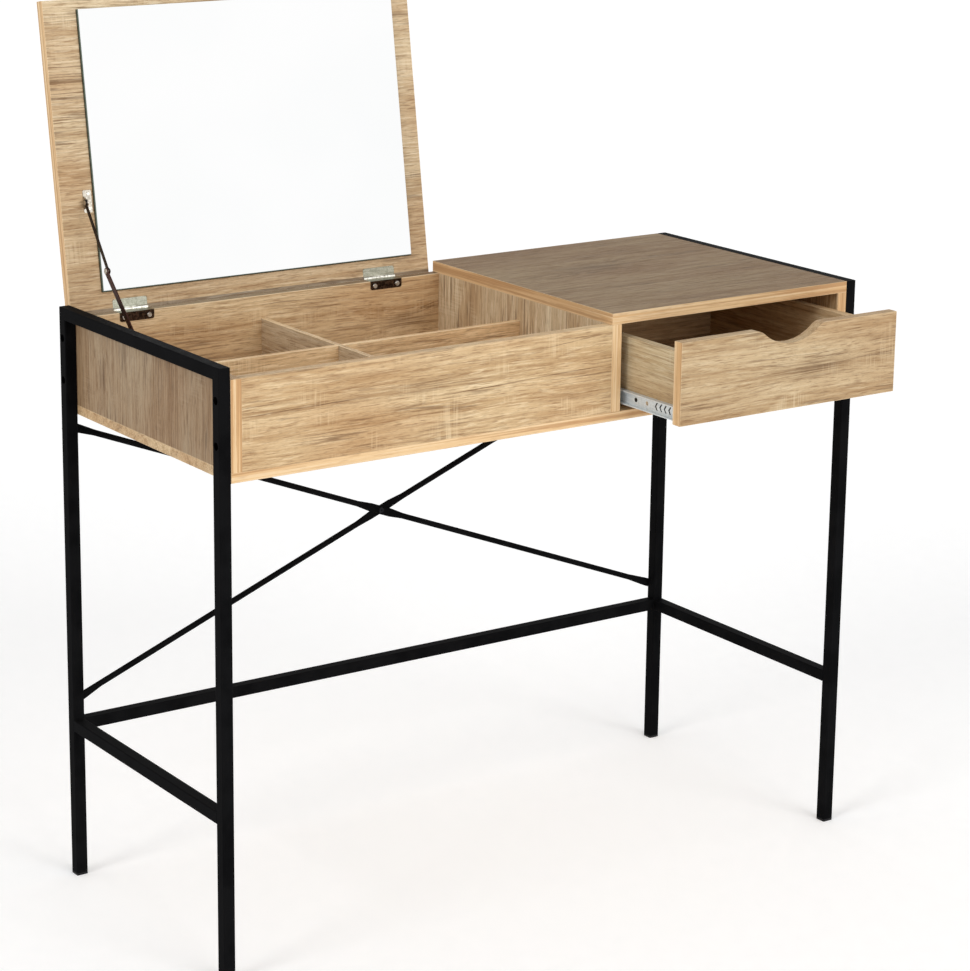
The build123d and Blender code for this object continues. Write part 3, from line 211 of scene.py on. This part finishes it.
def oak(name, grain, seed, face, tint=(1.0, 1.0, 1.0), faces=(), knots=(), cracks=(),
        bands=(), patches=(), lean=0.0, saw=0.5, contrast=1.0, wear_and_highlight=0.35, box=None):
    """Oak-look board. Grain runs along one rest-frame axis and face is the axis
    across it in the board's show face. Knots are (along, across, length, width,
    strength), cracks (start, stop, across at start, across at stop, width),
    faces (axis, sign, factors) tints of painted light and shade on the faces
    turned one way, bands (axis, sign, run) edges with edge banding, patches
    (side, low z, high z, factors) strips of painted shade on one side or, where
    side is None, all round, and lean turns the lid's board upright."""
    s = Shader(name)
    place = s.mapped(s.where, rotation=(lean, 0, 0)) if lean else s.where
    shifted = s.mapped(place, location=(seed * 1.7, seed * 2.3, seed * 0.9))
    parts = s.node("SeparateXYZ", {0: place}).outputs
    along, across, thick = AXES[grain]
    axes = (along, {"x": 0, "y": 1, "z": 2}[face])

    # the grain wanders slowly, and swells round each knot
    wander = s.noise(s.mapped(shifted, stretched(grain, *WANDER)), 1.0, 2.0)
    drift = s.math("SUBTRACT", wander, 0.5)
    push = s.math("MULTIPLY", drift, WANDER_PUSH)
    knot_core = None
    for knot in knots:
        near, lift = swell(s, parts, axes, knot)
        push = s.math("ADD", push, lift)
        core = s.math("POWER", near, 2.0)
        knot_core = core if knot_core is None else s.math("MAXIMUM", knot_core, core)
    moved = [0.0, 0.0, 0.0]
    moved[across] = push
    moved[thick] = push
    warp = s.node("CombineXYZ", dict(enumerate(moved))).outputs[0]
    warped = s.vector("ADD", shifted, warp)

    rings = s.noise(s.mapped(warped, stretched(grain, *RINGS)), 1.0, 5.0, 0.64)
    streaks = s.noise(s.mapped(warped, stretched(grain, *STREAKS), (0.2, 0.6, 0.9)), 1.0, 2.0)
    tone = s.noise(s.mapped(shifted, stretched(grain, *TONE)), 1.0, 2.0)
    lines = s.noise(s.mapped(warped, stretched(grain, *LINES), (0.9, 0.2, 0.4)), 1.0, 1.0)
    where_lines = s.noise(s.mapped(warped, stretched(grain, *WHERE_LINES), (0.1, 0.5, 0.3)),
                          1.0, 2.0)
    dashes = s.noise(s.mapped(warped, stretched(grain, *DASHES)), 1.0, 2.0, 0.6)
    flecks = s.noise(s.mapped(warped, stretched(grain, *FLECKS), (0.7, 0.3, 0.5)), 1.0, 2.0)
    pores = s.noise(s.mapped(warped, stretched(grain, *PORES)), 1.0, 1.0)
    cuts = s.noise(s.mapped(shifted, stretched(grain, *SAW_CUTS)), 1.0, 1.0)
    patch = s.noise(s.mapped(shifted, stretched(grain, *SAW_PATCHES), (0.4, 0.8, 0.1)),
                    1.0, 1.0)

    light, base, dark = rgb(*OAK_LIGHT), rgb(*OAK_BASE), rgb(*OAK_DARK)
    colour = s.mix(s.spread(rings, 0.34, 0.66), base, light)
    deep = s.math("MULTIPLY", s.spread(rings, 0.43, 0.28), 0.30 * contrast)
    colour = s.mix(deep, colour, dark)
    streak = s.math("MULTIPLY", s.spread(streaks, 0.50, 0.72), 0.38 * contrast)
    colour = s.mix(streak, colour, dark)
    pale = s.math("MULTIPLY", s.spread(streaks, 0.50, 0.28), 0.36 * contrast)
    colour = s.mix(pale, colour, rgb(*OAK_PALE))
    dark_dash = s.math("MULTIPLY", s.spread(dashes, 0.52, 0.68), 0.58 * contrast)
    colour = s.mix(dark_dash, colour, dark)
    light_dash = s.math("MULTIPLY", s.spread(flecks, 0.53, 0.68), 0.55 * contrast)
    colour = s.mix(light_dash, colour, rgb(*OAK_PALE))
    ridge = s.spread(s.math("ABSOLUTE", s.math("SUBTRACT", lines, 0.5)), 0.012, 0.05, 1.0, 0.0)
    ridge = s.math("MULTIPLY", ridge, s.spread(where_lines, 0.50, 0.62, 0.0, 0.55 * contrast))
    colour = s.mix(ridge, colour, rgb(*OAK_LINE))
    wobble = s.math("MULTIPLY", drift, CRACK_WOBBLE)
    for line in cracks:
        split = s.math("MULTIPLY", crack(s, parts, axes, line, wobble),
                       s.spread(dashes, 0.34, 0.60, 0.45, 0.85))
        colour = s.mix(split, colour, rgb(*OAK_LINE))
    pore = s.spread(pores, 0.56, 0.70)
    colour = s.mix(s.math("MULTIPLY", pore, 0.34 * contrast), colour, rgb(*OAK_LINE))
    cut = s.math("MULTIPLY", s.spread(cuts, 0.44, 0.62), s.spread(patch, 0.56, 0.70))
    colour = s.mix(s.math("MULTIPLY", cut, 0.45 * saw), colour, rgb(*OAK_PALE))
    if knot_core is not None:
        ring_lines = s.math("MULTIPLY", knot_core, s.spread(streaks, 0.44, 0.60, 0.25, 1.0))
        colour = s.mix(s.math("MULTIPLY", ring_lines, 0.70), colour, rgb(*OAK_LINE))
    slow = s.spread(tone, 0.30, 0.70, 0.0, 0.55)
    colour = s.mix(slow, colour, s.mix(1.0, colour, rgb(*OAK_SLOW), "MULTIPLY"))
    colour = multiplied(s, colour, tint)
    for axis, sign, factors in faces:
        colour = s.mix(s.facing(axis, sign), colour, multiplied(s, colour, factors))
    # lighter long edges: partly wear, partly a painted highlight, as the light line on the back
    # panel's top edge
    worn_and_lit = s.edge_wear_and_highlight(place, box, 0.9 * MM, s.math("SUBTRACT", dashes, 0.35))
    colour = s.mix(s.math("MULTIPLY", worn_and_lit, wear_and_highlight), colour, rgb(*OAK_PALE))
    for axis, sign, run in bands:
        colour = s.mix(s.facing(axis, sign), colour, edge_foil(s, place, run))
    for side, low, high, factors in patches:
        inside = s.math("MULTIPLY", s.spread(parts[2], low - 0.2 * MM, low + 0.2 * MM),
                        s.spread(parts[2], high - 0.2 * MM, high + 0.2 * MM, 1.0, 0.0))
        if side is not None:
            inside = s.math("MULTIPLY", inside, s.facing(*side))
        colour = s.mix(inside, colour, multiplied(s, colour, factors))

    height = s.math("MULTIPLY", rings, 0.35)
    height = s.math("SUBTRACT", height, s.math("MULTIPLY", pore, 0.9))
    height = s.math("SUBTRACT", height, s.math("MULTIPLY", dark_dash, 0.7))
    height = s.math("ADD", height, s.math("MULTIPLY", cut, 0.25 * saw))
    s.set(Base_Color=colour, Roughness=s.spread(dashes, 0.3, 0.7, 0.52, 0.68),
          Specular_IOR_Level=0.30, Normal=s.bump(height, 0.18 * MM, 0.6))
    return s.material


# ---- metals, coating, plastic, glass --------------------------------------------
def powder_coat(name, box=None):
    s = Shader(name)
    peel = s.noise(s.where, 1500.0, 2.0, 0.6)
    broad = s.noise(s.where, 22.0, 3.0)
    speck = s.spread(s.noise(s.where, 2900.0, 1.0), 0.64, 0.74)
    colour = s.mix(s.spread(broad, 0.35, 0.65), rgb(10, 10, 11), rgb(17, 17, 18))
    colour = s.mix(s.math("MULTIPLY", speck, 0.25), colour, rgb(40, 40, 42))
    if box is not None:
        # lighter edges: partly wear, partly a painted highlight along the tube edges
        worn_and_lit = s.edge_wear_and_highlight(s.where, box, 0.7 * MM, broad)
        colour = s.mix(s.math("MULTIPLY", worn_and_lit, 0.25), colour, rgb(52, 52, 55))
    s.set(Base_Color=colour, Roughness=s.spread(broad, 0.3, 0.7, 0.52, 0.64),
          Specular_IOR_Level=0.012, Normal=s.bump(peel, 0.10 * MM, 0.55))
    return s.material


def moulded_plastic(name):
    s = Shader(name)
    grain = s.noise(s.where, 2600.0, 2.0, 0.6)
    broad = s.noise(s.where, 60.0, 2.0)
    colour = s.mix(s.spread(broad, 0.3, 0.7), rgb(14, 14, 15), rgb(24, 24, 25))
    s.set(Base_Color=colour, Roughness=s.spread(grain, 0.3, 0.7, 0.50, 0.70),
          Specular_IOR_Level=0.2, Normal=s.bump(grain, 0.08 * MM, 0.6))
    return s.material


def steel(name, bright, dull, grain="x", mottle=0.5, rough=(0.24, 0.46), stain=None,
          metallic=1.0, shade_front=None, knuckles=False, slots=None):
    """Plated sheet or turned steel, with rolling lines, mottling and scuffs.
    shade_front is a rest-frame y in front of which the sheet carries painted
    shade and a painted dark reflection, knuckles paints a highlight on what is
    rolled round the hinge pin, and slots is the z range in which the walls of
    holes through a side-facing web carry painted shade."""
    s = Shader(name)
    rolling = s.noise(s.mapped(s.where, stretched(grain, 40, 1500)), 1.0, 3.0, 0.6)
    blotch = s.noise(s.where, 260.0, 3.0, 0.6, 0.5)
    scuff = s.spread(s.noise(s.mapped(s.where, (900, 260, 700)), 1.0, 3.0, 0.7), 0.60, 0.68)
    colour = s.mix(s.spread(rolling, 0.3, 0.7), rgb(*dull), rgb(*bright))
    shade = s.math("MULTIPLY", s.spread(blotch, 0.46, 0.62), mottle)
    colour = s.mix(shade, colour, rgb(*(stain or [c * 0.55 for c in dull])))
    colour = s.mix(s.math("MULTIPLY", scuff, 0.35), colour, rgb(*bright))
    if knuckles:
        from_pin = s.vector("SUBTRACT", s.where, HINGE_PIN)
        across = s.vector("MULTIPLY", from_pin, (0.0, 1.0, 1.0))
        away = s.node("VectorMath", {0: across}, operation="LENGTH").outputs["Value"]
        # painted highlight: near-white on the knuckles rolled round the hinge pin
        knuckle_highlight = s.mix(s.spread(blotch, 0.40, 0.60), rgb(244, 242, 234), rgb(196, 192, 180))
        colour = s.mix(s.spread(away, 2.3 * MM, 2.8 * MM, 1.0, 0.0), colour, knuckle_highlight)
    if slots is not None:
        # painted shade on the walls of the slots through the slide's side web
        normal = s.node("TexCoord").outputs["Normal"]
        sideways = s.math("ABSOLUTE", s.node("SeparateXYZ", {0: normal}).outputs[0])
        z = s.node("SeparateXYZ", {0: s.where}).outputs[2]
        level = s.math("MULTIPLY", s.spread(z, slots[0] - 0.1 * MM, slots[0] + 0.1 * MM),
                       s.spread(z, slots[1] - 0.1 * MM, slots[1] + 0.1 * MM, 1.0, 0.0))
        wall = s.math("MULTIPLY", s.spread(sideways, 0.90, 0.98, 1.0, 0.0), level)
        colour = s.mix(wall, colour, rgb(26, 28, 30))
    if shade_front is not None:
        # painted shade and dark reflection: the sheet in front of shade_front painted dark brown
        y = s.node("SeparateXYZ", {0: s.where}).outputs[1]
        brown = s.mix(s.spread(blotch, 0.40, 0.62), rgb(44, 34, 27), rgb(78, 62, 50))
        front = s.spread(y, shade_front - 0.1 * MM, shade_front + 0.1 * MM, 1.0, 0.0)
        colour = s.mix(front, colour, brown)
    roughness = s.spread(s.math("ADD", rolling, s.math("MULTIPLY", blotch, 0.4)),
                         0.45, 0.95, *rough)
    s.set(Base_Color=colour, Metallic=metallic, Roughness=roughness,
          Normal=s.bump(rolling, 0.05 * MM, 0.5))
    return s.material


def mirror_glass(name, face, box):
    """Silvered glass: a mirror on its front, dark green on the ground edge, and a
    painted shade line of the same dark green inside the left and lower edges."""
    s = Shader(name)
    normal = s.node("TexCoord").outputs["Normal"]
    toward = s.node("VectorMath", {0: normal, 1: face}, operation="DOT_PRODUCT").outputs["Value"]
    upright = s.node("SeparateXYZ", {0: s.mapped(s.where, rotation=(LID_LEAN, 0, 0))}).outputs
    # painted shade: a narrow dark line inside the left and lower edges of the front
    inset = s.math("MINIMUM", s.math("SUBTRACT", upright[0], box[0][0]),
                   s.math("SUBTRACT", upright[2], box[0][2]))
    clear = s.spread(inset, 1.6 * MM, 2.2 * MM)
    front = s.math("MULTIPLY", s.spread(toward, 0.93, 0.99), clear)
    haze = s.noise(s.mapped(s.where, (3, 3, 3)), 1.0, 3.0)
    silver = s.mix(s.spread(haze, 0.3, 0.7), rgb(250, 251, 251), rgb(254, 254, 254))
    ground = s.noise(s.where, 1400.0, 2.0)
    edge = s.mix(s.spread(ground, 0.3, 0.7), rgb(46, 52, 46), rgb(84, 92, 82))
    s.set(Base_Color=s.mix(front, edge, silver), Metallic=1.0,
          Roughness=s.math("ADD", s.spread(front, 0.0, 1.0, 0.35, 0.0),
                           s.spread(haze, 0.3, 0.7, 0.008, 0.016)),
          Normal=s.bump(s.math("MULTIPLY", ground, s.math("SUBTRACT", 1.0, front)),
                        0.05 * MM, 0.4))
    return s.material


def beech(name):
    s = Shader(name)
    streak = s.noise(s.mapped(s.where, (300, 300, 60)), 1.0, 3.0, 0.6)
    fleck = s.spread(s.noise(s.where, 1500.0, 2.0), 0.58, 0.70)
    colour = s.mix(s.spread(streak, 0.35, 0.65), rgb(205, 170, 126), rgb(228, 200, 160))
    colour = s.mix(s.math("MULTIPLY", fleck, 0.5), colour, rgb(150, 108, 70))
    s.set(Base_Color=colour, Roughness=s.spread(streak, 0.3, 0.7, 0.55, 0.7),
          Specular_IOR_Level=0.3, Normal=s.bump(streak, 0.1 * MM, 0.4))
    return s.material


# ---- which node gets which finish -------------------------------------------
def board_box(node, lean=0.0):
    turn = Matrix.Rotation(lean, 3, "X")
    corners = [turn @ v.co for v in nodes[node].data.vertices]
    low = Vector([min(c[i] for c in corners) for i in range(3)])
    high = Vector([max(c[i] for c in corners) for i in range(3)])
    return low, high


LEFT, RIGHT, FRONT, REAR, UP = (0, -1), (0, 1), (1, -1), (1, 1), (2, 1)
# Tints bring each board to the tone it has under the light it is usually seen in, so
# they hold some of that light and shade and not only the colour of the foil.
SHADED = (0.50, 0.53, 0.60)
# painted shade darkening the upward face of the top panel
TOP_PAINTED_SHADE = (0.40, 0.375, 0.335)
# the same painted shade on the lid's rear face, which is its top when closed
LID_BACK_PAINTED_SHADE = (0.404, 0.354, 0.289)
# painted shade darkening the outer face of the left side panel
SIDE_PAINTED_SHADE = (0.57, 0.57, 0.60)
LID_FOOT = board_box("lid_panel", LID_LEAN)[0][2]
# painted shade: a near-black strip on each drawer side behind the slide rail, seen through its
# slots
RAIL_PAINTED_SHADE = (654.5 * MM, 671.5 * MM, (0.04, 0.04, 0.05))
BOARDS = {
    "front_panel": dict(grain="x", face="z", seed=1, saw=0.9, wear_and_highlight=0.2,
                        tint=(0.98, 0.98, 0.96),
                        cracks=((-0.47, -0.27, 0.711, 0.716, 1.1 * MM),
                                (-0.20, 0.09, 0.703, 0.709, 1.3 * MM),
                                (-0.05, 0.09, 0.741, 0.752, 0.7 * MM)),
                        knots=((-0.22, 0.716, 0.14, 0.010, 0.5),)),
    "back_panel": dict(grain="x", face="z", seed=2, wear_and_highlight=0.8, faces=((*UP, SHADED),),
                       tint=(1.02, 1.04, 1.05),
                       knots=((0.03, 0.700, 0.05, 0.016, 0.9),)),
    "bottom_panel": dict(grain="x", face="y", seed=3, bands=((*FRONT, "x"),)),
    "top_panel": dict(grain="x", face="y", seed=4, contrast=0.85,
                      faces=((*UP, TOP_PAINTED_SHADE),),
                      bands=((*FRONT, "x"), (*LEFT, "y")),
                      knots=((0.24, 0.05, 0.07, 0.03, 0.8),)),
    "side_panel_left": dict(grain="z", face="y", seed=5, bands=((*FRONT, "z"),),
                            contrast=0.85, faces=((*LEFT, SIDE_PAINTED_SHADE),),
                            knots=((0.70, 0.12, 0.03, 0.012, 0.9),
                                   (0.74, 0.06, 0.035, 0.01, 0.8))),
    "side_panel_right": dict(grain="z", face="y", seed=6, bands=((*FRONT, "z"),)),
    "partition": dict(grain="z", face="y", seed=7, bands=((*FRONT, "z"),),
                      # painted light lifting the partition's left face
                      faces=((*LEFT, (1.08, 1.22, 1.42)),)),
    "divider_long": dict(grain="x", face="z", seed=8, wear_and_highlight=0.7, tint=(1.25, 1.26, 1.26)),
    "divider_cross": dict(grain="y", face="z", seed=9, wear_and_highlight=0.7,
                          # painted shade, greyer and bluer, on the cross divider's left face
                          faces=((*LEFT, (0.84, 0.90, 1.02)),)),
    "lid_panel": dict(grain="x", face="z", seed=10, lean=LID_LEAN,
                      tint=(0.99, 1.06, 1.16), bands=((*LEFT, "z"), (*RIGHT, "z")),
                      faces=((*REAR, LID_BACK_PAINTED_SHADE),),
                      patches=((None, LID_FOOT - 1 * MM, LID_FOOT + 4.5 * MM, SHADED),)),
    "drawer_front": dict(grain="x", face="z", seed=11, saw=0.9, contrast=0.9,
                         tint=(0.82, 0.83, 0.83), bands=((*LEFT, "z"),),
                         knots=((0.33, 0.70, 0.09, 0.02, 0.6),)),
    "drawer_side_left": dict(grain="y", face="z", seed=12, contrast=0.8,
                             tint=(0.88, 0.97, 1.05), patches=((LEFT, *RAIL_PAINTED_SHADE),)),
    "drawer_side_right": dict(grain="y", face="z", seed=13, contrast=0.8,
                              patches=((RIGHT, *RAIL_PAINTED_SHADE),)),
    "drawer_back": dict(grain="x", face="z", seed=14, contrast=0.8),
    "drawer_bottom": dict(grain="x", face="y", seed=15, contrast=0.8),
}
lid_face = (0.0, -math.cos(LID_LEAN), math.sin(LID_LEAN))
HINGE_SILVER = dict(bright=(170, 171, 156), dull=(136, 136, 122), stain=(112, 112, 98),
                    mottle=0.5, knuckles=True)
SHARED = {
    "frame_black": powder_coat("frame_coat_plain"),
    "cap_black": moulded_plastic("cap_plastic"),
    "bolt_black": steel("bolt_black_oxide", (52, 52, 56), (26, 26, 28), "z", 0.4),
    "beech_dowel": beech("beech_dowel"),
    "screw_zinc": steel("screw_zinc", (236, 234, 228), (186, 182, 172), "x", 0.25),
    "mirror": mirror_glass("mirror_silver", lid_face, board_box("mirror_glass", LID_LEAN)),
    "hinge_steel": steel("hinge_steel", **HINGE_SILVER),
    "stay_steel": steel("stay_steel", (58, 48, 43), (34, 28, 25), "z", 0.5),
    "slide_zinc": steel("slide_zinc", (222, 228, 230), (200, 208, 212), "y", 0.12,
                        rough=(0.36, 0.55), metallic=0.25, slots=(657.4 * MM, 668.6 * MM)),
}
BOX_LEAF = steel("hinge_steel_box_leaf", shade_front=190.7 * MM, **HINGE_SILVER)
BRIGHT_STAY = steel("stay_bright", (206, 200, 188), (150, 142, 130), "z", 0.4)
SPECIAL = {
    "hinge_box_leaf_left": BOX_LEAF,
    "hinge_box_leaf_right": BOX_LEAF,
    "hinge_screws_lid": steel("leaf_screws", (184, 184, 170), (140, 140, 126), "x", 0.3),
    "stay_lid_bracket": BRIGHT_STAY,
    "stay_rivet": BRIGHT_STAY,
    # dark steel whose red-brown is a painted reflection of the wood
    "stay_arm_lower": steel("stay_dark_painted_reflection", (84, 52, 46), (44, 28, 26), "z", 0.5),
}
PLAIN_COATED = ("brace_a", "brace_b")
slot_of = {entry["node"]: entry["material_slot"] for entry in frame["record"]["subparts"]}


def finish_for(name):
    if name in BOARDS:
        settings = BOARDS[name]
        box = board_box(name, settings.get("lean", 0.0))
        return oak("oak_" + name, box=box, **settings)
    if name in SPECIAL:
        return SPECIAL[name]
    if slot_of.get(name) == "frame_black" and name not in PLAIN_COATED:
        return powder_coat("coat_" + name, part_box(name))
    return SHARED[slot_of[name]]


for node_name in sorted(nodes):
    piece = nodes[node_name]
    finish = finish_for(node_name)
    for index in range(len(piece.data.materials)):
        piece.data.materials[index] = finish
    if not piece.data.materials:
        piece.data.materials.append(finish)


# ---- floor, light and camera ---------------------------------------------------
FLOOR_GLOW = 0.21
FLOOR_REACH = 40.0
WORLD_LIGHTS = 0.60
WORLD_SEEN = 1.0
# azimuth, elevation, spread (degrees) and strength of each broad light
KEY_LIGHT = (8.0, 20.0, 40.0, 1.45)
SIDE_LIGHT = (-78.0, 26.0, 22.0, 0.85)


def floor_finish():
    s = Shader("studio_floor")
    fine = s.noise(s.where, 40.0, 3.0)
    s.set(Base_Color=s.mix(s.spread(fine, 0.3, 0.7), rgb(246, 246, 246), rgb(249, 249, 249)),
          Roughness=0.75, Specular_IOR_Level=0.1,
          Emission_Color=(1.0, 1.0, 1.0, 1.0), Emission_Strength=FLOOR_GLOW)
    return s.material


def make_floor():
    shape = bmesh.new()
    bmesh.ops.create_grid(shape, x_segments=8, y_segments=8, size=FLOOR_REACH)
    mesh = bpy.data.meshes.new("studio_floor")
    shape.to_mesh(mesh)
    shape.free()
    mesh.materials.append(floor_finish())
    floor = bpy.data.objects.new("studio_floor", mesh)
    bpy.context.scene.collection.objects.link(floor)


def make_world(diffuse, seen):
    """White surroundings, brighter where they are seen than where they give light."""
    world = bpy.data.worlds.new("studio")
    bpy.context.scene.world = world
    world.use_nodes = True
    tree = world.node_tree
    background = tree.nodes["Background"]
    background.inputs["Color"].default_value = (1.0, 1.0, 1.0, 1.0)
    path = tree.nodes.new("ShaderNodeLightPath")
    level = tree.nodes.new("ShaderNodeMapRange")
    level.inputs["To Min"].default_value = seen
    level.inputs["To Max"].default_value = diffuse
    tree.links.new(path.outputs["Is Diffuse Ray"], level.inputs["Value"])
    tree.links.new(level.outputs[0], background.inputs["Strength"])


def soft_sun(name, azimuth, elevation, spread, strength):
    """Broad even light; azimuth 0 comes from straight in front."""
    data = bpy.data.lights.new(name, "SUN")
    data.angle, data.energy = math.radians(spread), strength
    lamp = bpy.data.objects.new(name, data)
    a, e = math.radians(azimuth), math.radians(elevation)
    source = Vector((math.sin(a) * math.cos(e), -math.cos(a) * math.cos(e), math.sin(e)))
    lamp.rotation_euler = (-source).to_track_quat("-Z", "Y").to_euler()
    bpy.context.scene.collection.objects.link(lamp)


AZIMUTH = math.radians(-33.343)
ELEVATION = math.radians(13.891)
ROLL = math.radians(0.317)
DISTANCE = 3.749
TARGET = Vector((-0.10498, 0.0, 0.64411))
FOCAL_PIXELS = 2880.0
PRINCIPAL = (400.0, 400.0)
IMAGE = (970, 971)
SENSOR = 36.0


def make_camera():
    level = math.cos(ELEVATION)
    back = Vector((math.sin(AZIMUTH) * level, -math.cos(AZIMUTH) * level, math.sin(ELEVATION)))
    right = Vector((0, 0, 1)).cross(back).normalized()
    up = back.cross(right)
    rolled_right = math.cos(ROLL) * right + math.sin(ROLL) * up
    rolled_up = math.cos(ROLL) * up - math.sin(ROLL) * right
    data = bpy.data.cameras.new("camera")
    data.sensor_fit = "HORIZONTAL"
    data.sensor_width = SENSOR
    data.lens = FOCAL_PIXELS / IMAGE[0] * SENSOR
    data.shift_x = (IMAGE[0] / 2 - PRINCIPAL[0]) / IMAGE[0]
    data.shift_y = (PRINCIPAL[1] - IMAGE[1] / 2) / IMAGE[0]
    camera = bpy.data.objects.new("camera", data)
    turn = Matrix((rolled_right, rolled_up, back)).transposed().to_4x4()
    camera.matrix_world = Matrix.Translation(TARGET + DISTANCE * back) @ turn
    bpy.context.scene.collection.objects.link(camera)
    bpy.context.scene.camera = camera


make_floor()
make_world(WORLD_LIGHTS, WORLD_SEEN)
soft_sun("key", *KEY_LIGHT)
soft_sun("side", *SIDE_LIGHT)
make_camera()
bpy.context.scene.view_settings.view_transform = "Standard"
